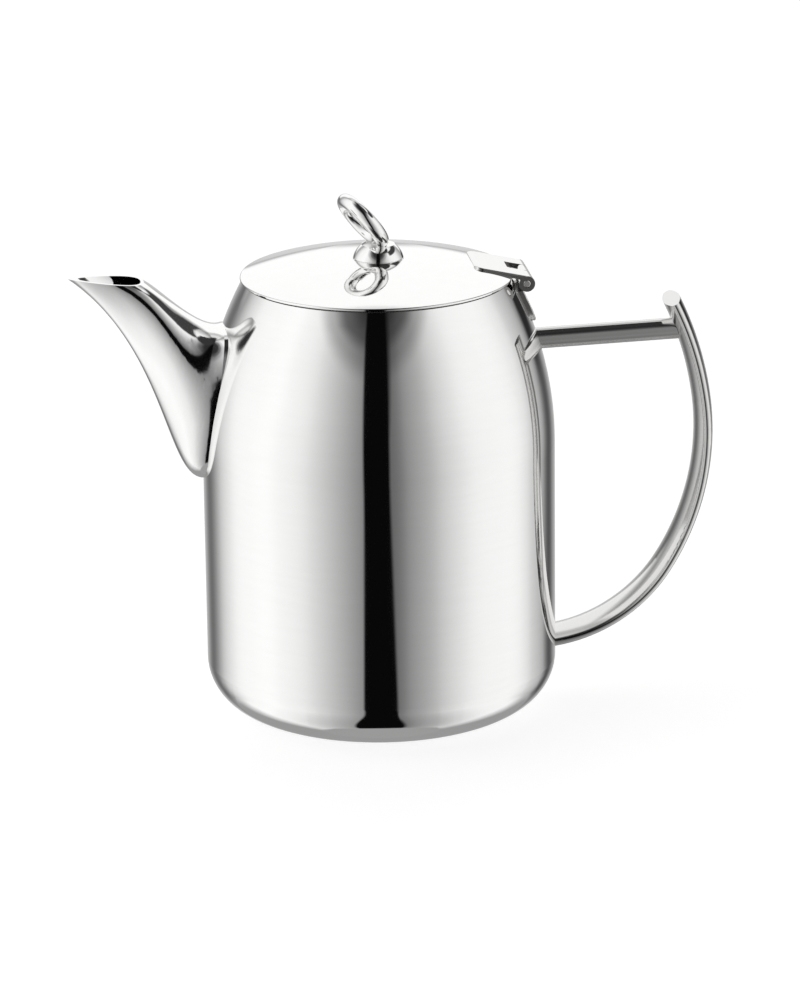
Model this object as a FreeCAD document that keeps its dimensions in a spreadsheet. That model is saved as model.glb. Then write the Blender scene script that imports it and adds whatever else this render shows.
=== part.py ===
"""Hinged-lid stainless steel teapot, drawn as separate welded, pinned and screwed pieces.

Frame: +Z is up, the origin is the centre of the base on the table, +X points at the handle,
-X at the spout, and the hinge pin lies along Y. All sizes are millimetres and degrees.
"""
import FreeCAD, Part
import Sketcher
import math
import os
import re

from FreeCAD import Vector

SIZES = {
    # pot body: a drawn can with an arched shoulder
    "body_radius": 57.5,
    "body_wall": 0.8,
    "shoulder_start": 88.5,
    "rim_radius": 43.4,
    "rim_height": 143.5,
    "base_corner": 16,
    "base_groove_inset": 5,
    "base_groove_width": 5,
    "base_groove_depth": 0.8,
    # strainer pierced in the pot wall behind the spout
    "strainer_bore": 2.6,
    "strainer_pitch": 4.6,
    "strainer_height": 91.8,
    # spout: outer shape
    "spout_bottom": 78,
    "spout_top": 128.8,
    "spout_reach": 42.9,
    "spout_tip_height": 147.6,
    "spout_root_side": 15.1,
    "spout_low_side": 14.2,
    "spout_neck_side": 10.6,
    "spout_mouth_side": 6.9,
    "mouth_length": 24.6,
    "mouth_drop": 2,
    "spout_wall": 1.0,
    "spout_lip": 2.4,
    # lid
    "lid_radius": 44.2,
    "lid_gap": 0.7,
    "lid_edge": 0.6,
    "lid_rise": 5.6,
    "lid_wall": 1.0,
    "lid_round": 0.5,
    "crown_width": 24.6,
    "crown_radius": 227,
    "skirt_clearance": 0.6,
    "skirt_depth": 6,
    "skirt_wall": 0.8,
    # knob, a little off the lid's centre
    "knob_offset": 0.65,
    "collar_radius": 8.2,
    "collar_top_radius": 5.4,
    "collar_height": 4.4,
    "collar_undercut": 0.3,
    "collar_side_radius": 9,
    "ring_radius": 8.7,
    "ring_tube": 2.4,
    "ring_lean": 36.6,
    "ring_turn": 17.3,
    "ring_foot": 1.1,
    "screw_radius": 2,
    "screw_reach": 3.4,
    "screw_head_radius": 3.6,
    "screw_head_height": 2.2,
    "screw_head_round": 0.8,
    "screw_clearance": 0.2,
    # hinge between the lid's edge and the shoulder
    "hinge_offset": 4.1,
    "hinge_drop": 1.2,
    "knuckle_radius": 2.6,
    "pin_radius": 1.2,
    "pin_clearance": 0.05,
    "pin_round": 0.3,
    "leaf_width": 23,
    "leaf_wall": 1.5,
    "leaf_start": 30.5,
    "leaf_slope": 12.5,
    "leaf_corner": 3,
    "leaf_round": 0.6,
    "leaf_notch": 5.4,
    "knuckle_width": 7,
    "knuckle_clearance": 0.3,
    "strap_width": 16,
    "strap_wall": 1.1,
    "strap_gap": 0.7,
    "strap_length": 11.5,
    "strap_corner": 6.5,
    "strap_round": 0.5,
    # handle: bowed hollow section with a round crossbar
    "handle_foot_height": 18.6,
    "handle_foot_angle": 7.7,
    "handle_low_angle": 57.6,
    "handle_mid_angle": 97.5,
    "handle_low_radius": 51.7,
    "handle_mid_radius": 85,
    "handle_top_radius": 109,
    "handle_overrun": 8.9,
    "handle_width": 17.6,
    "handle_depth": 5.8,
    "handle_round": 1.4,
    "handle_wall": 1.2,
    "handle_root": 3,
    "cap_thickness": 1.2,
    "bar_radius": 3.5,
    "bar_gap": 3,
    "bar_slope": 1.7,
}

STRAINER_ROWS = 6
STRAINER_COLUMNS = 5
# Shape of the spout's guide curves, as shares of the spout's own reach and rise.
KEEL_LEVEL_RUN = 0.295
KEEL_STEEP_RUN = 0.25
KEEL_STEEP_RISE = 0.65
RIDGE_RUN = 0.525
RIDGE_DROP = 0.44

# How far each row of the spout's control net moves its widest point towards the ridge.
SPOUT_SKEW = (0.23, 0.1, 0.45, 0.27)
# How sharply each row turns at its widest point: 0 is egg-shaped, more is nearer to an almond.
SPOUT_POINT = (-0.17, 0.18, 0.75, 0.59)
SECTION_POLES = 12

TOUCH = 0.001

# Sizes that follow from others, written once as expressions of the sheet.
SHOULDER = ("(((rim_height - shoulder_start)^2 + (body_radius - rim_radius)^2)"
            " / (2 * (body_radius - rim_radius)))")
RIM_INSIDE = (f"(body_radius - {SHOULDER}"
              f" + sqrt(({SHOULDER} - body_wall)^2 - (rim_height - shoulder_start)^2))")
LID_BOTTOM = "(rim_height + lid_gap)"
LID_SHOULDER = "(rim_height + lid_gap + lid_edge)"
LID_TOP = "(rim_height + lid_gap + lid_edge + lid_rise)"
CROWN_SINE = "(crown_width / crown_radius)"
CROWN_COSINE = f"sqrt(1 - {CROWN_SINE}^2)"
CROWN_CENTRE = f"({LID_TOP} - crown_radius)"
CROWN_EDGE = f"({CROWN_CENTRE} + crown_radius * {CROWN_COSINE})"
BROW_RUN = "(lid_radius - crown_width)"
BROW_FALL = f"({CROWN_EDGE} - {LID_SHOULDER})"
BROW = f"(({BROW_RUN}^2 + {BROW_FALL}^2) / (2 * ({BROW_FALL} * {CROWN_COSINE} - {BROW_RUN} * {CROWN_SINE})))"
BROW_CENTRE_X = f"(crown_width - {BROW} * {CROWN_SINE})"
BROW_CENTRE_Z = f"({CROWN_EDGE} - {BROW} * {CROWN_COSINE})"
LID_INSIDE = f"({BROW_CENTRE_X} + sqrt(({BROW} - lid_wall)^2 - ({LID_BOTTOM} - {BROW_CENTRE_Z})^2))"
SKIRT_RADIUS = f"({RIM_INSIDE} - skirt_clearance)"
COLLAR_TOP = f"({LID_TOP} + collar_height)"
HINGE_X = "(rim_radius + hinge_offset)"
HINGE_Z = "(rim_height - hinge_drop)"
OVAL_FACE = ("(((handle_width / 2 - handle_round)^2 + (handle_depth / 2)^2 - handle_round^2)"
             " / (handle_depth - 2 * handle_round))")
HANDLE_LOW_X = "(body_radius + handle_low_radius * (sin(handle_low_angle) - sin(handle_foot_angle)))"
HANDLE_LOW_Z = "(handle_foot_height + handle_low_radius * (cos(handle_foot_angle) - cos(handle_low_angle)))"
HANDLE_MID_X = f"({HANDLE_LOW_X} + handle_mid_radius * (sin(handle_mid_angle) - sin(handle_low_angle)))"
HANDLE_MID_Z = f"({HANDLE_LOW_Z} + handle_mid_radius * (cos(handle_low_angle) - cos(handle_mid_angle)))"
STRAP_TOP = f"({HINGE_Z} - knuckle_radius - strap_gap)"
STRAP_END = f"({STRAP_TOP} - strap_length)"
BAR_HEIGHT = f"({STRAP_END} - bar_gap - bar_radius - body_radius * tan(bar_slope))"
BAR_END_Z = f"({BAR_HEIGHT} + {HANDLE_MID_X} * tan(bar_slope))"
BAR_END_ANGLE = f"acos(cos(handle_mid_angle) - ({BAR_END_Z} - {HANDLE_MID_Z}) / handle_top_radius)"
BAR_END_X = f"({HANDLE_MID_X} + handle_top_radius * (sin({BAR_END_ANGLE}) - sin(handle_mid_angle)))"
HANDLE_END_Z = f"({BAR_END_Z} + handle_overrun)"
HANDLE_END_ANGLE = f"acos(cos(handle_mid_angle) - ({HANDLE_END_Z} - {HANDLE_MID_Z}) / handle_top_radius)"
HANDLE_END_TURN = f"({HANDLE_END_ANGLE} / 1 deg)"
HANDLE_END_X = f"({HANDLE_MID_X} + handle_top_radius * (sin({HANDLE_END_ANGLE}) - sin(handle_mid_angle)))"

doc = FreeCAD.newDocument("teapot")
sheet = doc.addObject("Spreadsheet::Sheet", "Sizes")
for row, (alias, number) in enumerate(SIZES.items(), start=1):
    sheet.set(f"A{row}", alias.replace("_", " "))
    sheet.set(f"B{row}", str(number))
    sheet.setAlias(f"B{row}", alias)
doc.recompute()


def linked(text):
    """The expression with every size name pointing at its cell in the sheet."""
    return re.sub(r"[a-z]\w*", lambda word: f"Sizes.{word[0]}" if word[0] in SIZES else word[0], text)


def value(text):
    """The number that an expression of the sheet gives now."""
    result = sheet.evalExpression(linked(str(text)))
    return float(getattr(result, "Value", result))


def bind(target, path, text):
    """Drive a property from the sheet."""
    target.setExpression(path, linked(str(text)))


def new_body(label):
    body = doc.addObject("PartDesign::Body", label)
    body.Label = label
    return body


def origin_plane(body, role):
    return next(feature for feature in body.Origin.OriginFeatures if feature.Role == role)


def new_sketch(body, name, role):
    sketch = body.newObject("Sketcher::SketchObject", name)
    sketch.AttachmentSupport = [(origin_plane(body, role), "")]
    sketch.MapMode = "FlatFace"
    return sketch


def place_constraints(curve, end, across, up):
    """Constraints, each with its expression, that hold one end of a sketch curve."""
    return [(Sketcher.Constraint("DistanceX", -1, 1, curve, end, value(across)), across),
            (Sketcher.Constraint("DistanceY", -1, 1, curve, end, value(up)), up)]


def constrain(sketch, wanted):
    """Add (constraint, expression) pairs together, then drive each one from the sheet."""
    first = sketch.ConstraintCount
    sketch.addConstraint([constraint for constraint, _ in wanted])
    for number, (_, text) in enumerate(wanted, start=first):
        if re.search("[a-z]", str(text)):
            bind(sketch, f"Constraints[{number}]", text)


def arc_between(start, end, radius, bulge):
    """The short arc of this radius from start to end; bulge +1 swells to the left of the way.

    Its own sense is always anticlockwise, so a left-swelling arc runs from end to start.
    """
    if bulge > 0:
        start, end = end, start
    chord = end - start
    rise = math.sqrt(max(radius ** 2 - (chord.Length / 2) ** 2, 0))
    centre = (start + end) / 2 + Vector(-chord.y, chord.x, 0).normalize() * rise
    first = math.atan2(start.y - centre.y, start.x - centre.x)
    last = math.atan2(end.y - centre.y, end.x - centre.x)
    if last < first:
        last += 2 * math.pi
    return Part.ArcOfCircle(Part.Circle(centre, Vector(0, 0, 1), radius), first, last)


def draw_chain(sketch, points, arcs=None, closed=True):
    """Lines and arcs through (across, up) points; arcs maps a point's number to (radius, bulge)."""
    arcs = arcs or {}
    spots = [Vector(value(across), value(up), 0) for across, up in points]
    count = len(points) if closed else len(points) - 1
    first = sketch.GeometryCount
    ends = []
    wanted = []
    for number in range(count):
        start = spots[number]
        end = spots[(number + 1) % len(points)]
        if number in arcs:
            radius, bulge = arcs[number]
            curve = sketch.addGeometry(arc_between(start, end, value(radius), bulge), False)
            ends.append((1, 2) if bulge < 0 else (2, 1))
            wanted.append((Sketcher.Constraint("Radius", curve, value(radius)), radius))
        else:
            curve = sketch.addGeometry(Part.LineSegment(start, end), False)
            ends.append((1, 2))
        wanted += place_constraints(curve, ends[number][0], *points[number])
    for number in range(count if closed else count - 1):
        following = (number + 1) % count
        meeting = Sketcher.Constraint(
            "Coincident", first + number, ends[number][1], first + following, ends[following][0])
        wanted.append((meeting, ""))
    if not closed:
        wanted += place_constraints(first + count - 1, ends[count - 1][1], *points[-1])
    constrain(sketch, wanted)


def draw_circle(sketch, across, up, radius):
    centre = Vector(value(across), value(up), 0)
    curve = sketch.addGeometry(Part.Circle(centre, Vector(0, 0, 1), value(radius)), False)
    size = (Sketcher.Constraint("Radius", curve, value(radius)), radius)
    constrain(sketch, place_constraints(curve, 3, across, up) + [size])


def move_to_knob(sketch):
    """Shift a sketch along the lid, so that its vertical axis is the knob's."""
    sketch.AttachmentOffset = FreeCAD.Placement(Vector(value("knob_offset"), 0, 0), FreeCAD.Rotation())
    bind(sketch, "AttachmentOffset.Base.x", "knob_offset")


def spin(body, kind, sketch):
    """Revolution or Groove of a sketch once round the Z axis."""
    feature = body.newObject(f"PartDesign::{kind}", f"{kind}_{sketch.Name}")
    feature.Profile = sketch
    feature.ReferenceAxis = (sketch, ["V_Axis"])
    feature.Angle = 360
    doc.recompute()
    return feature


def extrude(body, kind, sketch, length):
    """Pad or Pocket of a sketch, half to each side of its plane."""
    feature = body.newObject(f"PartDesign::{kind}", f"{kind}_{sketch.Name}")
    feature.Profile = sketch
    feature.SideType = "Symmetric"
    bind(feature, "Length", length)
    doc.recompute()
    return feature


def fillet(body, base, radius, wanted):
    """Round the edges of a feature that pass a test."""
    feature = body.newObject("PartDesign::Fillet", f"Fillet_{base.Name}")
    names = [f"Edge{number}" for number, edge in enumerate(base.Shape.Edges, start=1) if wanted(edge)]
    feature.Base = (base, names)
    bind(feature, "Radius", radius)
    doc.recompute()
    return feature


def pot_points():
    """Outer half outline of the pot, from the axis at the base up to the rim."""
    points = [("0", "0"),
              ("body_radius - base_corner", "0"),
              ("body_radius", "base_corner"),
              ("body_radius", "shoulder_start"),
              ("rim_radius", "rim_height"),
              ("0", "rim_height")]
    return points, {1: ("base_corner", -1), 3: (SHOULDER, -1)}


def cut_pot_form(body):
    """Trim a welded piece to the outside of the pot, so that it meets the wall face to face."""
    sketch = new_sketch(body, "pot_form", "XZ_Plane")
    draw_chain(sketch, *pot_points())
    return spin(body, "Groove", sketch)


def cut_lid_form(body):
    """Trim a piece that sits on the lid to the lid's domed top and its edge."""
    sketch = new_sketch(body, "lid_form", "XZ_Plane")
    points = [("0", "rim_height"), ("lid_radius", "rim_height"), ("lid_radius", LID_SHOULDER),
              ("crown_width", CROWN_EDGE), ("0", LID_TOP)]
    draw_chain(sketch, points, {2: (BROW, -1), 3: ("crown_radius", -1)})
    return spin(body, "Groove", sketch)


def over_crown(radius):
    """Height of the lid's top face at this distance from the axis, on its flat middle."""
    return f"({CROWN_CENTRE} + sqrt(crown_radius^2 - ({radius})^2))"


def under_crown(radius):
    """Height of the lid's underside at this distance from the axis, below its flat middle."""
    return f"({CROWN_CENTRE} + sqrt((crown_radius - lid_wall)^2 - ({radius})^2))"


def under_brow(radius):
    """Height of the lid's underside at this distance from the axis, below its round outer band."""
    return f"({BROW_CENTRE_Z} + sqrt(({BROW} - lid_wall)^2 - (({radius}) - {BROW_CENTRE_X})^2))"


def body_shell():
    """Drawn pot wall with a stiffening groove in its base, pierced where the spout is welded on."""
    body = new_body("body_shell")
    sketch = new_sketch(body, "wall_outline", "XZ_Plane")
    groove_end = "body_radius - base_corner - base_groove_inset"
    groove_start = f"{groove_end} - base_groove_width"
    groove_roof = "base_groove_depth + body_wall"
    points = [("0", "0"),
              (groove_start, "0"),
              (f"{groove_start} + base_groove_depth", "base_groove_depth"),
              (f"{groove_end} - base_groove_depth", "base_groove_depth"),
              (groove_end, "0"),
              ("body_radius - base_corner", "0"),
              ("body_radius", "base_corner"),
              ("body_radius", "shoulder_start"),
              ("rim_radius", "rim_height"),
              (RIM_INSIDE, "rim_height"),
              ("body_radius - body_wall", "shoulder_start"),
              ("body_radius - body_wall", "base_corner"),
              ("body_radius - base_corner", "body_wall"),
              (f"{groove_end} + body_wall / 2", "body_wall"),
              (f"{groove_end} + body_wall / 2 - base_groove_depth", groove_roof),
              (f"{groove_start} - body_wall / 2 + base_groove_depth", groove_roof),
              (f"{groove_start} - body_wall / 2", "body_wall"),
              ("0", "body_wall")]
    arcs = {5: ("base_corner", -1),
            7: (SHOULDER, -1),
            9: (f"{SHOULDER} - body_wall", 1),
            11: ("base_corner - body_wall", 1)}
    draw_chain(sketch, points, arcs)
    spin(body, "Revolution", sketch)
    pierce_strainer(body)


def pierce_strainer(body):
    """Rows of small holes through the wall that the spout covers."""
    sketch = new_sketch(body, "strainer", "YZ_Plane")
    first_column = f"0 - strainer_pitch * {(STRAINER_COLUMNS - 1) / 2}"
    draw_circle(sketch, first_column, "strainer_height", "strainer_bore / 2")
    pocket = body.newObject("PartDesign::Pocket", "strainer_hole")
    pocket.Profile = sketch
    bind(pocket, "Length", "2 * body_radius")
    doc.recompute()
    if not cuts_spout_side(pocket):
        pocket.Reversed = True
        doc.recompute()
    if not cuts_spout_side(pocket):
        raise RuntimeError("the strainer holes miss the wall behind the spout")
    pattern = body.newObject("PartDesign::LinearPattern", "strainer_rows")
    pattern.Originals = [pocket]
    pattern.Direction = (sketch, ["H_Axis"])
    pattern.Direction2 = (sketch, ["V_Axis"])
    pattern.Mode = "Spacing"
    pattern.Mode2 = "Spacing"
    bind(pattern, "Offset", "strainer_pitch")
    bind(pattern, "Offset2", "strainer_pitch")
    pattern.Occurrences = STRAINER_COLUMNS
    pattern.Occurrences2 = STRAINER_ROWS
    body.Tip = pattern
    doc.recompute()


def cuts_spout_side(pocket):
    """True when a pocket takes material away on the -X side only."""
    removed = pocket.BaseFeature.Shape.cut(pocket.Shape)
    return removed.Volume > 0 and removed.BoundBox.XMax < 0


def spout_rows(inset, lip):
    """Keel corner, ridge corner and half width of the four rows of the spout's control net.

    The keel and the ridge are cubic Bezier curves in the XZ plane, from the pot to the mouth.
    Inset draws the net in, and lip moves the mouth's keel side further in.
    """
    wall_x = -value("body_radius")
    tip_x = wall_x - value("spout_reach")
    tip_z = value("spout_tip_height")
    bottom = value("spout_bottom")
    top = value("spout_top")
    back_x = tip_x + value("mouth_length")
    back_z = tip_z - value("mouth_drop")
    reach = tip_x - wall_x
    keel = [Vector(wall_x, 0, bottom),
            Vector(wall_x + KEEL_LEVEL_RUN * reach, 0, bottom),
            Vector(wall_x + KEEL_STEEP_RUN * reach, 0, bottom + KEEL_STEEP_RISE * (tip_z - bottom)),
            Vector(tip_x, 0, tip_z)]
    ridge = [Vector(wall_x + value("body_radius - rim_radius") / 2, 0, top),
             Vector(wall_x, 0, top),
             Vector(back_x + RIDGE_RUN * (wall_x - back_x), 0, back_z - RIDGE_DROP * (back_z - top)),
             Vector(back_x, 0, back_z)]
    half_widths = [value(name) for name in ("spout_root_side", "spout_low_side", "spout_neck_side",
                                            "spout_mouth_side")]
    rows = []
    for number, (low, high) in enumerate(zip(keel, ridge)):
        along = (high - low).normalize()
        floor = lip if number == 3 else 0
        rows.append((low + along * (inset + floor), high - along * inset, half_widths[number] - inset))
    return rows


def spout_net(rows):
    """Poles of the spout's skin: four rows of rings, from egg-shaped to almond-shaped."""
    swell = 3 / (2 + math.cos(2 * math.pi / SECTION_POLES))
    net = []
    for (low, high, half_width), skew, point in zip(rows, SPOUT_SKEW, SPOUT_POINT):
        ring = []
        for pole in range(SECTION_POLES):
            angle = 2 * math.pi * pole / SECTION_POLES
            across = math.sin(angle)
            place = (1 - swell * math.cos(angle)) / 2 + skew * across ** 2
            side = swell * half_width * (across + point * across ** 3) / (1 + point)
            ring.append(low + (high - low) * place + Vector(0, side, 0))
        net.append(ring)
    return net


def spout_form(inset, lip, past_mouth):
    """Solid inside the spout's skin, run on into the pot and past the mouth."""
    rows = spout_rows(inset, lip)
    skin = Part.BSplineSurface()
    skin.buildFromPolesMultsKnots(spout_net(rows), [4, 4], [1] * (SECTION_POLES + 1), [0, 1],
                                  list(range(SECTION_POLES + 1)), False, True, 3, 3)
    side = skin.toShape()
    rings = [edge for edge in side.Edges if edge.isClosed()]
    rings.sort(key=lambda edge: edge.CenterOfMass.x)
    mouth = Part.Face(Part.Wire([rings[0]]))
    root = Part.Face(Part.Wire([rings[-1]]))
    shell = Part.Compound([side, mouth, root])
    shell.sewShape()
    form = Part.Solid(shell).fuse(root.extrude(Vector(value("body_radius - rim_radius"), 0, 0)))
    if past_mouth:
        outward = (rows[3][0] - rows[2][0]).normalize()
        form = form.fuse(mouth.extrude(outward * past_mouth))
    return form


def pot_form_solid():
    """The pot's outside as one solid of revolution."""
    points, arcs = pot_points()
    spots = [Vector(value(across), value(up), 0) for across, up in points]
    edges = []
    for number, start in enumerate(spots):
        end = spots[(number + 1) % len(spots)]
        if number in arcs:
            radius, bulge = arcs[number]
            edges.append(arc_between(start, end, value(radius), bulge).toShape())
        else:
            edges.append(Part.makeLine(start, end))
    outline = Part.Face(Part.Wire(edges))
    outline.rotate(Vector(), Vector(1, 0, 0), 90)
    return outline.revolve(Vector(), Vector(0, 0, 1), 360)


def spout():
    """Beak spout: a lofted skin whose root follows the pot's wall."""
    wall = value("spout_wall")
    outer = spout_form(0, 0, 0)
    inner = spout_form(wall, value("spout_lip"), 2 * wall)
    feature = doc.addObject("Part::Feature", "spout")
    feature.Label = "spout"
    feature.Shape = outer.cut(inner).cut(pot_form_solid())
    feature.Placement = FreeCAD.Placement()


def lid_plate():
    """Domed lid, rounder towards its edge, with the hole for the knob's screw."""
    body = new_body("lid_plate")
    sketch = new_sketch(body, "plate_outline", "XZ_Plane")
    points = [("0", LID_TOP),
              ("crown_width", CROWN_EDGE),
              ("lid_radius", LID_SHOULDER),
              ("lid_radius", LID_BOTTOM),
              (LID_INSIDE, LID_BOTTOM),
              (f"crown_width - lid_wall * {CROWN_SINE}", f"{CROWN_EDGE} - lid_wall * {CROWN_COSINE}"),
              ("0", f"{LID_TOP} - lid_wall")]
    draw_chain(sketch, points, {0: ("crown_radius", 1), 1: (BROW, 1),
                                4: (f"{BROW} - lid_wall", -1), 5: ("crown_radius - lid_wall", -1)})
    plate = spin(body, "Revolution", sketch)
    shoulder = value(LID_SHOULDER)
    fillet(body, plate, "lid_round", lambda edge: is_ring(edge, value("lid_radius"), shoulder))
    hole = new_sketch(body, "screw_hole", "XY_Plane")
    draw_circle(hole, "knob_offset", "0", "screw_radius + screw_clearance")
    extrude(body, "Pocket", hole, f"2 * {COLLAR_TOP}")


def is_ring(edge, radius, height):
    """True for a level circle of this radius at this height."""
    if edge.Degenerated:
        return False
    curve = edge.Curve
    return (isinstance(curve, Part.Circle) and abs(curve.Radius - radius) < TOUCH
            and abs(curve.Center.z - height) < TOUCH)


def lid_skirt():
    """Locating ring that hangs inside the rim; its top meets the underside of the plate."""
    body = new_body("lid_skirt")
    sketch = new_sketch(body, "ring_outline", "XZ_Plane")
    inside = f"{SKIRT_RADIUS} - skirt_wall"
    points = [(SKIRT_RADIUS, f"{LID_BOTTOM} - skirt_depth"),
              (SKIRT_RADIUS, under_brow(SKIRT_RADIUS)),
              (inside, under_brow(inside)),
              (inside, f"{LID_BOTTOM} - skirt_depth")]
    draw_chain(sketch, points, {1: (f"{BROW} - lid_wall", -1)})
    spin(body, "Revolution", sketch)


def collar_outline():
    """The collar's half outline from its foot up its curved side to its flat top."""
    foot = "collar_radius - collar_undercut"
    widest = f"({over_crown(foot)} + collar_undercut)"
    points = [(foot, LID_SHOULDER),
              (foot, over_crown(foot)),
              ("collar_radius", widest),
              ("collar_top_radius", COLLAR_TOP),
              ("0", COLLAR_TOP)]
    return points, {2: ("collar_side_radius", -1)}


def knob_collar():
    """Turned seat under the ring, with a blind hole for the screw."""
    body = new_body("knob_collar")
    sketch = new_sketch(body, "collar_side", "XZ_Plane")
    move_to_knob(sketch)
    points, arcs = collar_outline()
    bore_end = f"{LID_TOP} + screw_reach"
    points += [("0", bore_end), ("screw_radius", bore_end), ("screw_radius", LID_SHOULDER)]
    draw_chain(sketch, points, arcs)
    spin(body, "Revolution", sketch)
    cut_lid_form(body)


def knob_ring():
    """Leaning finger ring, seated flat on the collar."""
    body = new_body("knob_ring")
    torus = body.newObject("PartDesign::AdditiveTorus", "ring")
    bind(torus, "Radius1", "ring_radius")
    bind(torus, "Radius2", "ring_tube")
    aside = "ring_radius * sin(ring_lean)"
    spot = (f"create(<<vector>>; knob_offset - {aside} * cos(ring_turn); 0 - {aside} * sin(ring_turn); "
            f"{COLLAR_TOP} + ring_foot + ring_radius * cos(ring_lean))")
    turned = "create(<<rotation>>; ring_turn; 90 - ring_lean; 0)"
    bind(torus, "Placement", f"create(<<placement>>; {spot}; {turned})")
    doc.recompute()
    sketch = new_sketch(body, "collar_form", "XZ_Plane")
    move_to_knob(sketch)
    points, arcs = collar_outline()
    draw_chain(sketch, points + [("0", LID_SHOULDER)], arcs)
    spin(body, "Groove", sketch)


def knob_screw():
    """Screw from inside the lid that holds the collar."""
    body = new_body("knob_screw")
    sketch = new_sketch(body, "screw_outline", "XZ_Plane")
    move_to_knob(sketch)
    seat = under_crown("screw_head_radius + knob_offset")
    points = [("0", f"{seat} - screw_head_height"),
              ("screw_head_radius", f"{seat} - screw_head_height"),
              ("screw_head_radius", seat),
              ("screw_radius", seat),
              ("screw_radius", f"{LID_TOP} + screw_reach"),
              ("0", f"{LID_TOP} + screw_reach")]
    draw_chain(sketch, points)
    head = spin(body, "Revolution", sketch)
    base = value(f"{seat} - screw_head_height")
    fillet(body, head, "screw_head_round", lambda edge: is_ring(edge, value("screw_head_radius"), base))


def over_hinge(distance):
    """Point at this distance from the hinge axis, square to the leaf."""
    return (f"{HINGE_X} + ({distance}) * sin(leaf_slope)", f"{HINGE_Z} + ({distance}) * cos(leaf_slope)")


def hinge_pin():
    """Round pin held in the middle knuckle."""
    body = new_body("hinge_pin")
    sketch = new_sketch(body, "pin_section", "XZ_Plane")
    draw_circle(sketch, HINGE_X, HINGE_Z, "pin_radius")
    pin = extrude(body, "Pad", sketch, "leaf_width")
    fillet(body, pin, "pin_round", lambda edge: isinstance(edge.Curve, Part.Circle))


def hinge_lid_leaf():
    """Flat leaf on the lid with two outer knuckles and a gap between them."""
    body = new_body("hinge_lid_leaf")
    sketch = new_sketch(body, "leaf_side", "XZ_Plane")
    top = f"{HINGE_Z} + knuckle_radius / cos(leaf_slope) + ({HINGE_X} - leaf_start) * tan(leaf_slope)"
    points = [("leaf_start", f"{top} - leaf_wall / cos(leaf_slope)"),
              over_hinge("knuckle_radius - leaf_wall"),
              over_hinge("knuckle_radius"),
              ("leaf_start", top)]
    draw_chain(sketch, points)
    plate = extrude(body, "Pad", sketch, "leaf_width")
    start = value("leaf_start")
    rounded = fillet(body, plate, "leaf_corner", lambda edge: is_upright_at(edge, start))
    fillet(body, rounded, "leaf_round", is_leaf_rim)
    knuckles = new_sketch(body, "outer_knuckles", "XZ_Plane")
    draw_circle(knuckles, HINGE_X, HINGE_Z, "knuckle_radius")
    extrude(body, "Pad", knuckles, "leaf_width")
    notch = new_sketch(body, "notch", "XY_Plane")
    half = "(knuckle_width / 2 + knuckle_clearance)"
    left = f"{HINGE_X} - leaf_notch"
    right = f"{HINGE_X} + 2 * knuckle_radius"
    draw_chain(notch, [(left, f"0 - {half}"), (right, f"0 - {half}"), (right, half), (left, half)])
    extrude(body, "Pocket", notch, f"2 * {COLLAR_TOP}")
    bore = new_sketch(body, "pin_bore", "XZ_Plane")
    draw_circle(bore, HINGE_X, HINGE_Z, "pin_radius + pin_clearance")
    extrude(body, "Pocket", bore, "2 * leaf_width")
    cut_lid_form(body)


def is_leaf_rim(edge):
    """True for an edge of the leaf's upper face, other than the one at the barrel."""
    slope = math.radians(value("leaf_slope"))
    radius = value("knuckle_radius")
    barrel_edge = value(HINGE_X) + radius * math.sin(slope)
    corners = [vertex.Point for vertex in edge.Vertexes]
    heights = [(corner.x - value(HINGE_X)) * math.sin(slope) + (corner.z - value(HINGE_Z)) * math.cos(slope)
               for corner in corners]
    at_barrel = all(abs(corner.x - barrel_edge) < TOUCH for corner in corners)
    return all(abs(height - radius) < TOUCH for height in heights) and not at_barrel


def is_upright_at(edge, place):
    """True for an upright edge at this x."""
    corners = [vertex.Point for vertex in edge.Vertexes]
    return (all(abs(corner.x - place) < TOUCH for corner in corners)
            and abs(corners[0].y - corners[-1].y) < TOUCH)


def strap_face(height):
    """Distance from the pot's axis to the strap's outer face at this height."""
    return f"(body_radius - {SHOULDER} + sqrt(({SHOULDER} + strap_wall)^2 - ({height} - shoulder_start)^2))"


def hinge_body_leaf():
    """Strap bent along the shoulder and welded to it, with the middle knuckle on a narrow tab."""
    body = new_body("hinge_body_leaf")
    deep = "(rim_radius - knuckle_radius)"
    side = new_sketch(body, "strap_side", "XZ_Plane")
    draw_chain(side, [(strap_face(STRAP_END), STRAP_END), (strap_face(STRAP_TOP), STRAP_TOP),
                      (deep, STRAP_TOP), (deep, STRAP_END)],
               {0: (f"{SHOULDER} + strap_wall", -1)})
    strap = extrude(body, "Pad", side, "strap_width")
    lowest = value(STRAP_END)
    rounded = fillet(body, strap, "strap_corner", lambda edge: is_level_side(edge, "strap_width", lowest))
    fillet(body, rounded, "strap_round", is_strap_rim)
    tab = new_sketch(body, "tab_side", "XZ_Plane")
    draw_chain(tab, [(deep, f"{STRAP_TOP} - strap_wall"),
                     (strap_face(f"({STRAP_TOP} - strap_wall)"), f"{STRAP_TOP} - strap_wall"),
                     (f"{HINGE_X} + strap_wall / 2", HINGE_Z),
                     (f"{HINGE_X} - strap_wall / 2", HINGE_Z)])
    extrude(body, "Pad", tab, "knuckle_width")
    knuckle = new_sketch(body, "middle_knuckle", "XZ_Plane")
    draw_circle(knuckle, HINGE_X, HINGE_Z, "knuckle_radius")
    extrude(body, "Pad", knuckle, "knuckle_width")
    bore = new_sketch(body, "pin_bore", "XZ_Plane")
    draw_circle(bore, HINGE_X, HINGE_Z, "pin_radius")
    extrude(body, "Pocket", bore, "2 * knuckle_width")
    cut_pot_form(body)


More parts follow.
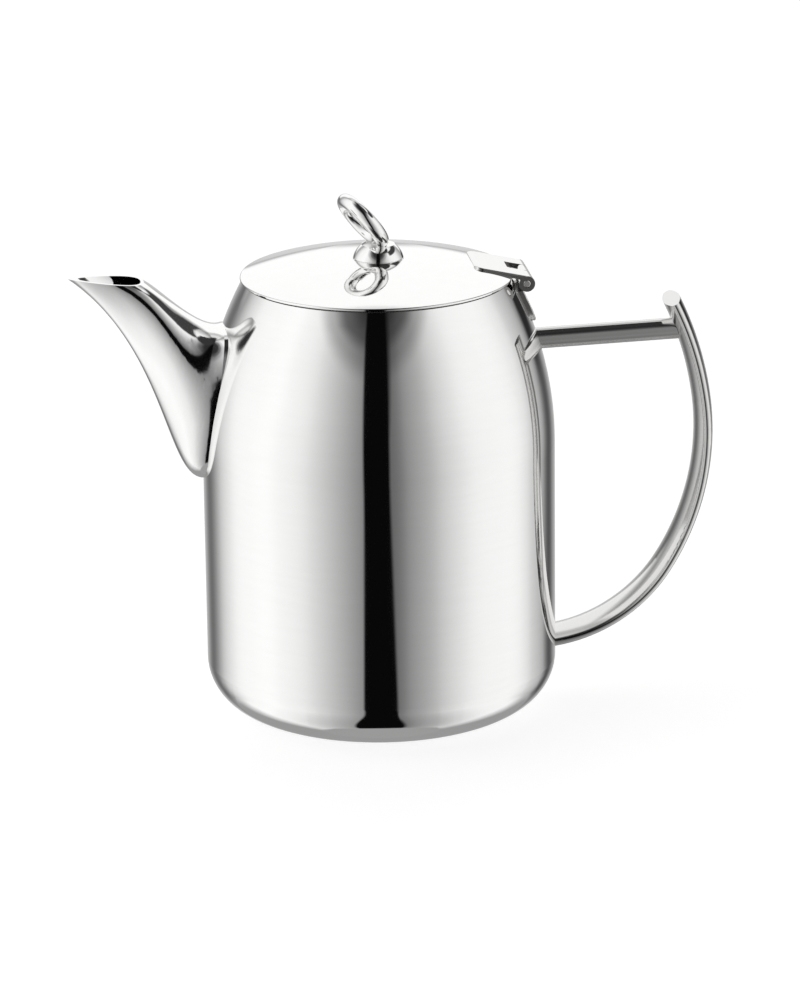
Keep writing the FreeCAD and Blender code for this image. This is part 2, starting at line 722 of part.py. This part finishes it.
def is_strap_rim(edge):
    """True for an edge of the strap's outer face, other than the one at its top."""
    radius = value(f"{SHOULDER} + strap_wall")
    centre_x = value(f"body_radius - {SHOULDER}")
    corners = [vertex.Point for vertex in edge.Vertexes]
    reaches = [math.hypot(corner.x - centre_x, corner.z - value("shoulder_start")) for corner in corners]
    at_top = all(abs(corner.z - value(STRAP_TOP)) < TOUCH for corner in corners)
    return all(abs(reach - radius) < TOUCH for reach in reaches) and not at_top


def is_level_side(edge, width, height):
    """True for a level edge along X at this height, on either side of a piece of this width."""
    corners = [vertex.Point for vertex in edge.Vertexes]
    side = value(width) / 2
    return (all(abs(abs(corner.y) - side) < TOUCH and abs(corner.z - height) < TOUCH for corner in corners)
            and abs(corners[0].y - corners[-1].y) < TOUCH)


def draw_handle_path(body):
    """The handle's centre line in the XZ plane, from just inside the wall to the free end."""
    path = new_sketch(body, "handle_path", "XZ_Plane")
    points = [("body_radius - handle_root * cos(handle_foot_angle)",
               "handle_foot_height - handle_root * sin(handle_foot_angle)"),
              ("body_radius", "handle_foot_height"),
              (HANDLE_LOW_X, HANDLE_LOW_Z),
              (HANDLE_MID_X, HANDLE_MID_Z),
              (HANDLE_END_X, HANDLE_END_Z)]
    arcs = {1: ("handle_low_radius", -1), 2: ("handle_mid_radius", -1), 3: ("handle_top_radius", -1)}
    draw_chain(path, points, arcs, closed=False)
    return path


def tilt(sketch, angle, across="0", up="0"):
    """Lean a sketch of the YZ plane back about Y, at a point of the XZ plane."""
    sketch.AttachmentOffset = FreeCAD.Placement(
        Vector(0, value(up), value(across)), FreeCAD.Rotation(Vector(1, 0, 0), -value(angle)))
    bind(sketch, "AttachmentOffset.Base.y", up)
    bind(sketch, "AttachmentOffset.Base.z", across)
    bind(sketch, "AttachmentOffset.Rotation.Angle", f"0 - {angle}")


def draw_handle_section(body, name, across, up, angle, inset):
    """Rounded section across the handle at a point of its centre line, drawn in by inset."""
    section = new_sketch(body, name, "YZ_Plane")
    tilt(section, angle, across, up)
    face = f"({OVAL_FACE} - {inset})"
    share = f"({face} / ({OVAL_FACE} - handle_round))"
    side = f"(handle_width / 2 - handle_round) * {share}"
    height = f"({OVAL_FACE} - handle_depth / 2) * ({share} - 1)"
    points = [(f"0 - {side}", f"0 - {height}"), (side, f"0 - {height}"),
              (side, height), (f"0 - {side}", height)]
    corner = f"handle_round - {inset}"
    draw_chain(section, points, {0: (face, -1), 1: (corner, -1), 2: (face, -1), 3: (corner, -1)})
    return section


def sweep(body, kind, section, path):
    """AdditivePipe or SubtractivePipe of a section along the handle's centre line."""
    feature = body.newObject(f"PartDesign::{kind}", f"{kind}_{section.Name}")
    feature.Profile = section
    feature.Spine = (path, [])
    doc.recompute()
    return feature


def foot_section(body, name, inset):
    return draw_handle_section(body, name,
                               "body_radius - handle_root * cos(handle_foot_angle)",
                               "handle_foot_height - handle_root * sin(handle_foot_angle)",
                               "handle_foot_angle", inset)


def handle_arc():
    """Bowed hollow handle, welded to the wall at its foot."""
    body = new_body("handle_arc")
    path = draw_handle_path(body)
    sweep(body, "AdditivePipe", foot_section(body, "outer_section", "0"), path)
    sweep(body, "SubtractivePipe", foot_section(body, "inner_section", "handle_wall"), path)
    cut_pot_form(body)


def handle_end_cap():
    """Plate that closes the handle's free end."""
    body = new_body("handle_end_cap")
    section = draw_handle_section(body, "cap_section", HANDLE_END_X, HANDLE_END_Z, HANDLE_END_TURN, "0")
    cap = body.newObject("PartDesign::Pad", "cap")
    cap.Profile = section
    bind(cap, "Length", "cap_thickness")
    doc.recompute()


def handle_bar():
    """Round bar that rises a little from the shoulder to the inner face of the handle."""
    body = new_body("handle_bar")
    sketch = new_sketch(body, "bar_section", "YZ_Plane")
    tilt(sketch, "bar_slope")
    draw_circle(sketch, "0", BAR_HEIGHT, "bar_radius")
    bar = body.newObject("PartDesign::Pad", "bar")
    bar.Profile = sketch
    bind(bar, "Length", f"({BAR_END_X} + {BAR_HEIGHT} * sin(bar_slope)) / cos(bar_slope)")
    doc.recompute()
    cut_pot_form(body)
    sweep(body, "SubtractivePipe", foot_section(body, "handle_form", "0"), draw_handle_path(body))


def write_parts():
    """Check every object and write one STEP file for each sub-part."""
    doc.recompute()
    for item in doc.Objects:
        if "Invalid" in item.State or "Error" in item.State:
            raise RuntimeError(f"{item.Name} did not recompute: {item.State}")
    pieces = [item for item in doc.Objects if item.TypeId in ("PartDesign::Body", "Part::Feature")]
    for piece in pieces:
        if piece.Shape.isNull() or not piece.Shape.isValid() or len(piece.Shape.Solids) != 1:
            raise RuntimeError(f"{piece.Label} is not one valid solid")
    os.makedirs("parts", exist_ok=True)
    for piece in pieces:
        piece.Shape.exportStep(f"parts/{piece.Label}.step")


body_shell()
spout()
handle_arc()
handle_end_cap()
handle_bar()
hinge_body_leaf()
hinge_pin()
lid_plate()
lid_skirt()
hinge_lid_leaf()
knob_collar()
knob_ring()
knob_screw()
write_parts()
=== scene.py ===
"""Looks of the polished steel teapot: materials, studio surroundings, floor and camera."""
import math

import bpy
from mathutils import Matrix, Vector

# Camera: where it looks from, in metres in the object's frame, its lens and sensor in
# millimetres and the lens's shift in sensor widths.
LOOK_AT = Vector((0.0, 0.0, 0.090))
DISTANCE = 1.5
ELEVATION = math.radians(16.75)
TURN = math.radians(6.5)
ROLL = math.radians(0.77)
LENS = 168.09
SENSOR = 36.0
SHIFT = (0.0217, -0.0567)
SIGHT_END = 50

# Level directions at the object, toward the camera and to its right.
TO_CAMERA = Vector((-math.sin(TURN), -math.cos(TURN), 0.0))
TO_RIGHT = Vector((math.cos(TURN), -math.sin(TURN), 0.0))

# Colours of the steel's finishes, and darker colours that are painted shade.
MIRROR = (0.94, 0.938, 0.933)
SHEET = (0.86, 0.855, 0.845)
SATIN = (0.80, 0.79, 0.775)
BRUSHED = (0.76, 0.755, 0.745)
# Painted shade inside the pot, which makes the gap under the lid look black.
INSIDE_PAINTED_SHADE = (0.42, 0.41, 0.40)
# Painted shade on the lid's skirt and underside, which makes the gap under the lid look black.
UNDER_LID_PAINTED_SHADE = (0.30, 0.295, 0.285)
# Painted shade on the hinge sheet's edges that face along the pin.
EDGE_PAINTED_SHADE = (0.28, 0.275, 0.27)

# Smudges and polish lines, the same on every piece. The lines' height is in metres.
SMUDGE_SCALE = 28.0
SMUDGE_DETAIL = 5.0
SMUDGE_ROUGHNESS = 0.55
SMUDGE_RANGE = (0.35, 0.70)
LINE_DETAIL = 3.0
LINE_DIM = 0.985
LINE_RANGE = (0.3, 0.7)
LINE_HEIGHT = 0.00001

# Sides that get painted shade and more roughness: the roughness added there, the value that the
# normal's outward part times the distance from the pot's axis, in metres, stays below, and the ranges
# of the normal's Y and Z parts over which the painted shade and the roughness change.
DULL_ROUGHNESS = 0.2
AXIS_SIDE = -0.002
PIN_END_SIDE = (0.75, 0.90)
DOWN_SIDE = (-0.30, -0.10)

# The studio is painted by direction. Azimuth is 0 toward the camera and grows to the right, and
# both it and elevation are in degrees; rise is the elevation and height is its sine. Levels and
# shades are 0 to 255, as they show. Of four numbers, HOOD_TURN, HOOD_RISE, NOOK_TURN and NOOK_RISE
# are where a patch starts, is full, begins to fade and ends. The others are the two ends of a
# range and the values there.
STUDIO_STRENGTH = 1.05

# Walls: level by azimuth. The pattern is read at the azimuth times a factor, which is a tenth more
# in front above the horizon and falls to half near the ground.
WALLS = [(-180, 214), (-160, 157), (-145, 112), (-129, 192), (-112, 240), (-92, 253), (-72, 250),
         (-46, 221), (-12, 139), (4, 100), (18, 138), (38, 191), (60, 234), (86, 247), (104, 241),
         (116, 213), (134, 166), (144, 88), (156, 135), (180, 214)]
WALL_EXTRA_ABOVE = (-0.25, 0.1, 0.0, 0.1)
WALL_EXTRA_IN_FRONT = (80, 110, 1.0, 0.0)
WALL_FACTOR = (-0.92, -0.55, 0.5, 1.0)

# Ground behind the object. The lower the direction, the further round to the sides it reaches.
REAR_GROUND_SIDES = (149, 175, 0.0, 1.0)
REAR_GROUND_REACH = -0.9
REAR_GROUND_RISE = (-38, -31, 1.0, 0.0)
REAR_GROUND_SHADE = 152

# Bright panel behind the object: level by elevation.
PANEL = [(3.5, 175), (6.5, 250), (8, 255), (48.5, 255), (51, 215), (57, 190), (64, 225)]
PANEL_SIDES = (136, 150, 0.0, 1.0)
PANEL_FOOT = (1.5, 3.5, 0.0, 1.0)

# Dark hood at the upper right, lower toward the back, and a dark nook at the horizon, right back.
HOOD_TURN = (62, 72, 133, 141)
HOOD_RISE = (43.5, 46.5, 60, 63)
HOOD_TILT = 0.13
HOOD_SHADE = 62
NOOK_TURN = (138, 143, 152, 162)
NOOK_RISE = (-9, -4, 2, 5)
NOOK_SHADE = 42

# Dark ceiling toward the camera, a dark hatch to its right, and a dark patch straight overhead and
# to the right. Middles are azimuth and elevation. Stops are the cosine of the angle from the
# middle, and the share of the shade there.
CEILING_MIDDLE = (-4, 60)
CEILING = [(0.74, 0), (0.839, 0.40), (0.899, 0.80), (0.956, 0.97)]
CEILING_SHADE = 36
HATCH_MIDDLE = (60, 68)
HATCH = [(0.946, 0), (0.966, 1)]
HATCH_SHADE = 52
OVERHEAD_RISE = (70, 76, 0.0, 1.0)
OVERHEAD_ACROSS = (-0.15, -0.05, 0.0, 1.0)
OVERHEAD_SHADE = 45

# Dark slit behind the camera. Its edges are in degrees of azimuth and move with height, and it
# spreads toward the ground.
SLIT_SHADE = 8
SLIT_LOWNESS = (-0.92, -0.35, 1.0, 0.0)
SLIT_LOWNESS_POWER = 3.0
SLIT_SPREAD = 1.6
SLIT_LEFT = (-11.2, -9.6, 0.0, 1.0)
SLIT_LEFT_LEAN = (-0.348, -0.305, 1.6, -0.3)
SLIT_RIGHT_ABOVE = (0.0, 0.5, 5.9, 7.0)
SLIT_RIGHT_BELOW = (-0.345, -0.30, 3.6, 0.0)
SLIT_RIGHT_SOFTNESS = (0.0, 0.7, 2.0, 5.0)

# Ground straight below.
GROUND_RISE = (-71.5, -69.5, 1.0, 0.0)
GROUND_SHADE = 155

# Floor under the object, in metres, and how bright its paper is.
FLOOR_SIZE = 12
FLOOR_DROP = 0.0002
PAPER = 0.62
PAPER_GLOW = 0.73

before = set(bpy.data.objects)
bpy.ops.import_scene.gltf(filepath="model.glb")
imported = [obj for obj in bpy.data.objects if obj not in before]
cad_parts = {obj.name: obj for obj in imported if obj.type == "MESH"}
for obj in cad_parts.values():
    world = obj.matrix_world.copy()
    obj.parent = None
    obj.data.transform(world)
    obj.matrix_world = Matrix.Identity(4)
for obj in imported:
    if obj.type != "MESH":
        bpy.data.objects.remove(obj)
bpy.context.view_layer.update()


# ---- node helpers ----------------------------------------------------------------------------

class Nodes:
    """Short ways to add and join shader nodes."""

    def __init__(self, tree):
        self.tree = tree
        tree.nodes.clear()

    def add(self, kind, **settings):
        node = self.tree.nodes.new(kind)
        for name, setting in settings.items():
            setattr(node, name, setting)
        return node

    def join(self, source, target):
        self.tree.links.new(source, target)

    def feed(self, socket, item):
        """Give a socket a number or the output of another node."""
        if isinstance(item, bpy.types.NodeSocket):
            self.join(item, socket)
        else:
            socket.default_value = item

    def math(self, operation, *items):
        node = self.add("ShaderNodeMath", operation=operation)
        for number, item in enumerate(items):
            self.feed(node.inputs[number], item)
        return node.outputs[0]

    def ramp(self, fac, stops, interpolation="EASE"):
        """Colour along a 0 to 1 factor; stops are (place, colour) pairs."""
        node = self.add("ShaderNodeValToRGB")
        ramp = node.color_ramp
        ramp.interpolation = interpolation
        while len(ramp.elements) < len(stops):
            ramp.elements.new(0.5)
        for element, (place, color) in zip(ramp.elements, stops):
            element.position = place
            element.color = color
        self.feed(node.inputs["Fac"], fac)
        return node.outputs["Color"]

    def span(self, item, start, end, low, high):
        """Straight change from low to high while item goes from start to end, held beyond them."""
        node = self.add("ShaderNodeMapRange", clamp=True)
        settings = {"From Min": start, "From Max": end, "To Min": low, "To Max": high}
        for name, setting in settings.items():
            node.inputs[name].default_value = setting
        self.feed(node.inputs["Value"], item)
        return node.outputs["Result"]

    def between(self, item, first, full, fading, last):
        """0 up to first, 1 from full to fading and 0 again from last on."""
        return self.math("MULTIPLY", self.span(item, first, full, 0.0, 1.0),
                         self.span(item, fading, last, 1.0, 0.0))

    def mix(self, fac, first, second):
        node = self.add("ShaderNodeMix", data_type="RGBA")
        self.feed(node.inputs["Factor"], fac)
        self.feed(node.inputs["A"], first)
        self.feed(node.inputs["B"], second)
        return node.outputs["Result"]

    def dot(self, item, axis):
        """How far a vector goes along an axis."""
        node = self.add("ShaderNodeVectorMath", operation="DOT_PRODUCT")
        self.join(item, node.inputs[0])
        self.feed(node.inputs[1], axis)
        return node.outputs["Value"]


def grey(brightness):
    """Grey of this brightness, as a colour."""
    return (brightness, brightness, brightness, 1)


def shade(level):
    """Grey that shows as this 0 to 255 level, by the sRGB curve."""
    share = level / 255
    return grey(share / 12.92 if share <= 0.04045 else ((share + 0.055) / 1.055) ** 2.4)


# ---- materials -------------------------------------------------------------------------------

def faces_axis(nodes, place):
    """1 where the surface faces the pot's upright axis, which is inside the pot, and 0 outside it."""
    outward = nodes.add("ShaderNodeVectorMath", operation="MULTIPLY")
    nodes.join(place, outward.inputs[0])
    outward.inputs[1].default_value = (1, 1, 0)
    normal = nodes.add("ShaderNodeTexCoord").outputs["Normal"]
    return nodes.math("LESS_THAN", nodes.dot(normal, outward.outputs["Vector"]), AXIS_SIDE)


def normal_part(nodes, axis):
    """The X, Y or Z part of the surface's normal."""
    parts = nodes.add("ShaderNodeSeparateXYZ")
    nodes.join(nodes.add("ShaderNodeTexCoord").outputs["Normal"], parts.inputs[0])
    return parts.outputs[axis]


def faces_pin_ends(nodes, place):
    """1 where the surface faces along the hinge pin, as the sheet's cut edges do, and 0 elsewhere."""
    return nodes.span(nodes.math("ABSOLUTE", normal_part(nodes, "Y")), *PIN_END_SIDE, 0.0, 1.0)


def faces_down(nodes, place):
    """1 where the surface faces down, as the inside of the lid does, and 0 elsewhere."""
    return nodes.span(normal_part(nodes, "Z"), *DOWN_SIDE, 1.0, 0.0)


def smudges(nodes, place):
    """Soft cloudy pattern, as fingers and cloths leave on steel."""
    smudge = nodes.add("ShaderNodeTexNoise")
    nodes.join(place, smudge.inputs["Vector"])
    smudge.inputs["Scale"].default_value = SMUDGE_SCALE
    smudge.inputs["Detail"].default_value = SMUDGE_DETAIL
    smudge.inputs["Roughness"].default_value = SMUDGE_ROUGHNESS
    return smudge.outputs["Fac"]


def polish_lines(nodes, place, grain):
    """Fine lines that repeat this often along X, Y and Z, in lines per metre."""
    stretch = nodes.add("ShaderNodeMapping")
    nodes.join(place, stretch.inputs["Vector"])
    stretch.inputs["Scale"].default_value = grain
    lines = nodes.add("ShaderNodeTexNoise")
    nodes.join(stretch.outputs["Vector"], lines.inputs["Vector"])
    lines.inputs["Scale"].default_value = 1.0
    lines.inputs["Detail"].default_value = LINE_DETAIL
    return lines.outputs["Fac"]


def steel(slot, color, roughness, spread, grain, grain_depth, dull_and_shaded_side=None, painted_shade_color=None):
    """Stainless steel with a directional polish, soft smudges, a faint tone change and, where given,
    a side painted darker as shade.

    Grain gives how often the polish lines repeat along X, Y and Z, in lines per metre.
    Dull_and_shaded_side is a function that finds the side painted in shade and made rougher, and
    painted_shade_color is the darker colour painted there as shade.
    """
    material = bpy.data.materials[slot]
    material.use_nodes = True
    nodes = Nodes(material.node_tree)
    output = nodes.add("ShaderNodeOutputMaterial")
    shader = nodes.add("ShaderNodeBsdfPrincipled")
    nodes.join(shader.outputs["BSDF"], output.inputs["Surface"])
    shader.inputs["Metallic"].default_value = 1.0
    place = nodes.add("ShaderNodeTexCoord").outputs["Object"]

    dullness = nodes.span(smudges(nodes, place), *SMUDGE_RANGE, roughness, roughness + spread)
    lines = polish_lines(nodes, place, grain)
    dim_color = [LINE_DIM * part for part in color]
    dim_place, full_place = LINE_RANGE
    finish = nodes.ramp(lines, [(dim_place, (*dim_color, 1)), (full_place, (*color, 1))], "LINEAR")
    # Painted shade: the given side gets the darker colour, and more roughness.
    if dull_and_shaded_side:
        side = dull_and_shaded_side(nodes, place)
        finish = nodes.mix(side, finish, (*painted_shade_color, 1))
        dullness = nodes.math("MULTIPLY_ADD", side, DULL_ROUGHNESS, dullness)
    nodes.join(finish, shader.inputs["Base Color"])
    nodes.join(dullness, shader.inputs["Roughness"])

    bump = nodes.add("ShaderNodeBump")
    bump.inputs["Strength"].default_value = grain_depth
    bump.inputs["Distance"].default_value = LINE_HEIGHT
    nodes.join(lines, bump.inputs["Height"])
    nodes.join(bump.outputs["Normal"], shader.inputs["Normal"])


def finish_slots():
    """Give every slot of the part its finish.

    Each line gives the slot, colour, roughness, change of roughness, grain and grain depth, then
    the side painted in shade and made rougher, and its painted shade colour, where there is one.
    """
    # Painted shade on the inside of the pot.
    steel("pot_steel", MIRROR, 0.03, 0.03, (60, 60, 500), 0.01, faces_axis, INSIDE_PAINTED_SHADE)
    steel("spout_steel", MIRROR, 0.05, 0.04, (500, 500, 120), 0.05)
    # Painted shade on the lid's underside.
    steel("lid_steel", MIRROR, 0.04, 0.03, (150, 150, 400), 0.05, faces_down, UNDER_LID_PAINTED_SHADE)
    steel("knob_steel", MIRROR, 0.05, 0.04, (300, 300, 300), 0.05)
    # Painted shade on the hinge's edges that face along the pin.
    steel("hinge_steel", SHEET, 0.07, 0.05, (600, 60, 600), 0.10, faces_pin_ends, EDGE_PAINTED_SHADE)
    steel("pin_steel", SATIN, 0.10, 0.06, (500, 60, 500), 0.10)
    steel("handle_steel", BRUSHED, 0.10, 0.05, (80, 1500, 80), 0.15)
    # The skirt's whole colour is painted shade under the lid.
    steel("skirt_steel", UNDER_LID_PAINTED_SHADE, 0.25, 0.10, (80, 80, 1500), 0.25)
    steel("screw_steel", SATIN, 0.22, 0.10, (900, 900, 900), 0.25)


# ---- studio ----------------------------------------------------------------------------------

def turn_place(degrees):
    """Azimuth as a 0 to 1 factor."""
    return degrees / 360 + 0.5


def lift_place(degrees):
    """Elevation as a 0 to 1 factor."""
    return math.sin(math.radians(degrees)) * 0.5 + 0.5


def direction(turn, lift):
    """Unit vector at this azimuth and elevation."""
    turn, lift = math.radians(turn), math.radians(lift)
    level = TO_CAMERA * math.cos(turn) + TO_RIGHT * math.sin(turn)
    return level * math.cos(lift) + Vector((0, 0, math.sin(lift)))


class Sky:
    """A direction in the studio, by azimuth, elevation and the other measures it is painted by."""

    def __init__(self, nodes):
        self.nodes = nodes
        self.way = nodes.add("ShaderNodeTexCoord").outputs["Generated"]
        self.across = nodes.dot(self.way, TO_RIGHT)
        self.height = nodes.dot(self.way, (0, 0, 1))
        azimuth = nodes.math("ARCTAN2", self.across, nodes.dot(self.way, TO_CAMERA))
        self.turn = nodes.math("MULTIPLY", azimuth, math.degrees(1))
        self.aside = nodes.math("ABSOLUTE", self.turn)
        self.rise = nodes.math("MULTIPLY", nodes.math("ARCSINE", self.height), math.degrees(1))

    def disc(self, middle, stops, level, disc_shade):
        """Paint a round patch; stops are (cosine of the angle from its middle, share) pairs."""
        nearness = self.nodes.dot(self.way, direction(*middle))
        share = self.nodes.ramp(nearness, [(place, grey(part)) for place, part in stops])
        return self.nodes.mix(share, level, shade(disc_shade))


def walls(sky):
    """Grey of the walls, all round."""
    nodes = sky.nodes
    extra = nodes.math("MULTIPLY", nodes.span(sky.height, *WALL_EXTRA_ABOVE),
                       nodes.span(sky.aside, *WALL_EXTRA_IN_FRONT))
    factor = nodes.math("ADD", extra, nodes.span(sky.height, *WALL_FACTOR))
    around = nodes.math("MULTIPLY_ADD", nodes.math("MULTIPLY", sky.turn, factor), 1 / 360, 0.5)
    stops = [(turn_place(turn), shade(level)) for turn, level in WALLS]
    return nodes.ramp(around, stops, "CARDINAL")


def rear_ground(sky, level):
    """Add the ground behind the object."""
    nodes = sky.nodes
    reach = nodes.math("MULTIPLY_ADD", sky.rise, REAR_GROUND_REACH, sky.aside)
    share = nodes.math("MULTIPLY", nodes.span(reach, *REAR_GROUND_SIDES),
                       nodes.span(sky.rise, *REAR_GROUND_RISE))
    return nodes.mix(share, level, shade(REAR_GROUND_SHADE))


def far_panel(sky, level):
    """Add the bright panel behind the object."""
    nodes = sky.nodes
    share = nodes.math("MULTIPLY", nodes.span(sky.aside, *PANEL_SIDES),
                       nodes.span(sky.rise, *PANEL_FOOT))
    lift = nodes.math("MULTIPLY_ADD", sky.height, 0.5, 0.5)
    stops = [(lift_place(rise), shade(bright)) for rise, bright in PANEL]
    panel = nodes.ramp(lift, stops, "LINEAR")
    return nodes.mix(share, level, panel)


def hood(sky, level):
    """Add the dark hood at the upper right."""
    nodes = sky.nodes
    tilted = nodes.math("MULTIPLY_ADD", sky.turn, HOOD_TILT, sky.rise)
    share = nodes.math("MULTIPLY", nodes.between(sky.turn, *HOOD_TURN),
                       nodes.between(tilted, *HOOD_RISE))
    return nodes.mix(share, level, shade(HOOD_SHADE))


def nook(sky, level):
    """Add the dark nook at the right back."""
    nodes = sky.nodes
    share = nodes.math("MULTIPLY", nodes.between(sky.turn, *NOOK_TURN),
                       nodes.between(sky.rise, *NOOK_RISE))
    return nodes.mix(share, level, shade(NOOK_SHADE))


def slit(sky, level):
    """Add the dark slit behind the camera."""
    nodes = sky.nodes
    lowness = nodes.math("POWER", nodes.span(sky.height, *SLIT_LOWNESS), SLIT_LOWNESS_POWER)
    spread = nodes.math("MULTIPLY_ADD", lowness, SLIT_SPREAD, 1.0)
    turn = nodes.math("DIVIDE", sky.turn, spread)
    from_left = nodes.math("ADD", turn, nodes.span(sky.height, *SLIT_LEFT_LEAN))
    right_edge = nodes.math("ADD", nodes.span(sky.height, *SLIT_RIGHT_ABOVE),
                            nodes.span(sky.height, *SLIT_RIGHT_BELOW))
    past_right = nodes.math("DIVIDE", nodes.math("SUBTRACT", turn, right_edge),
                            nodes.span(sky.height, *SLIT_RIGHT_SOFTNESS))
    share = nodes.math("MULTIPLY", nodes.span(from_left, *SLIT_LEFT),
                       nodes.span(past_right, 0.0, 1.0, 1.0, 0.0))
    return nodes.mix(share, level, shade(SLIT_SHADE))


def overhead(sky, level):
    """Add the dark patch straight overhead and to the right."""
    nodes = sky.nodes
    share = nodes.math("MULTIPLY", nodes.span(sky.rise, *OVERHEAD_RISE),
                       nodes.span(sky.across, *OVERHEAD_ACROSS))
    return nodes.mix(share, level, shade(OVERHEAD_SHADE))


def ground(sky, level):
    """Add the ground straight below."""
    return sky.nodes.mix(sky.nodes.span(sky.rise, *GROUND_RISE), level, shade(GROUND_SHADE))


def studio_world():
    """Studio that the steel mirrors, painted layer on layer, and white where the camera sees past."""
    world = bpy.data.worlds.new("studio")
    bpy.context.scene.world = world
    world.use_nodes = True
    nodes = Nodes(world.node_tree)
    output = nodes.add("ShaderNodeOutputWorld")
    sky = Sky(nodes)
    level = walls(sky)
    level = rear_ground(sky, level)
    level = far_panel(sky, level)
    level = hood(sky, level)
    level = nook(sky, level)
    level = sky.disc(CEILING_MIDDLE, CEILING, level, CEILING_SHADE)
    level = slit(sky, level)
    level = overhead(sky, level)
    level = sky.disc(HATCH_MIDDLE, HATCH, level, HATCH_SHADE)
    level = ground(sky, level)

    studio = nodes.add("ShaderNodeBackground")
    nodes.join(level, studio.inputs["Color"])
    studio.inputs["Strength"].default_value = STUDIO_STRENGTH
    paper = nodes.add("ShaderNodeBackground")
    paper.inputs["Color"].default_value = grey(1)
    seen = nodes.add("ShaderNodeMixShader")
    nodes.join(nodes.add("ShaderNodeLightPath").outputs["Is Camera Ray"], seen.inputs["Fac"])
    nodes.join(studio.outputs["Background"], seen.inputs[1])
    nodes.join(paper.outputs["Background"], seen.inputs[2])
    nodes.join(seen.outputs["Shader"], output.inputs["Surface"])


def floor():
    """Pale floor that keeps the shadow; polished steel sees the painted studio past it."""
    bpy.ops.mesh.primitive_plane_add(size=FLOOR_SIZE, location=(0, 0, -FLOOR_DROP))
    plane = bpy.context.object
    plane.name = "studio_floor"
    material = bpy.data.materials.new("floor_paper")
    material.use_nodes = True
    nodes = Nodes(material.node_tree)
    output = nodes.add("ShaderNodeOutputMaterial")
    paper = nodes.add("ShaderNodeBsdfDiffuse")
    paper.inputs["Color"].default_value = grey(PAPER)
    glow = nodes.add("ShaderNodeEmission")
    glow.inputs["Color"].default_value = grey(1)
    glow.inputs["Strength"].default_value = PAPER_GLOW
    both = nodes.add("ShaderNodeAddShader")
    nodes.join(paper.outputs[0], both.inputs[0])
    nodes.join(glow.outputs[0], both.inputs[1])
    nodes.join(both.outputs[0], output.inputs["Surface"])
    plane.data.materials.append(material)
    plane.visible_glossy = False


def camera():
    """Camera far off, with a long lens."""
    data = bpy.data.cameras.new("view")
    data.lens = LENS
    data.sensor_width = SENSOR
    data.shift_x, data.shift_y = SHIFT
    data.clip_end = SIGHT_END
    view = bpy.data.objects.new("view", data)
    bpy.context.scene.collection.objects.link(view)
    outward = TO_CAMERA * math.cos(ELEVATION) + Vector((0, 0, math.sin(ELEVATION)))
    spot = LOOK_AT + outward * DISTANCE
    facing = (-outward).to_track_quat("-Z", "Y").to_matrix().to_4x4()
    view.matrix_world = Matrix.Translation(spot) @ facing @ Matrix.Rotation(-ROLL, 4, "Z")
    bpy.context.scene.camera = view


finish_slots()
studio_world()
floor()
camera()
bpy.context.scene.view_settings.view_transform = "Standard"
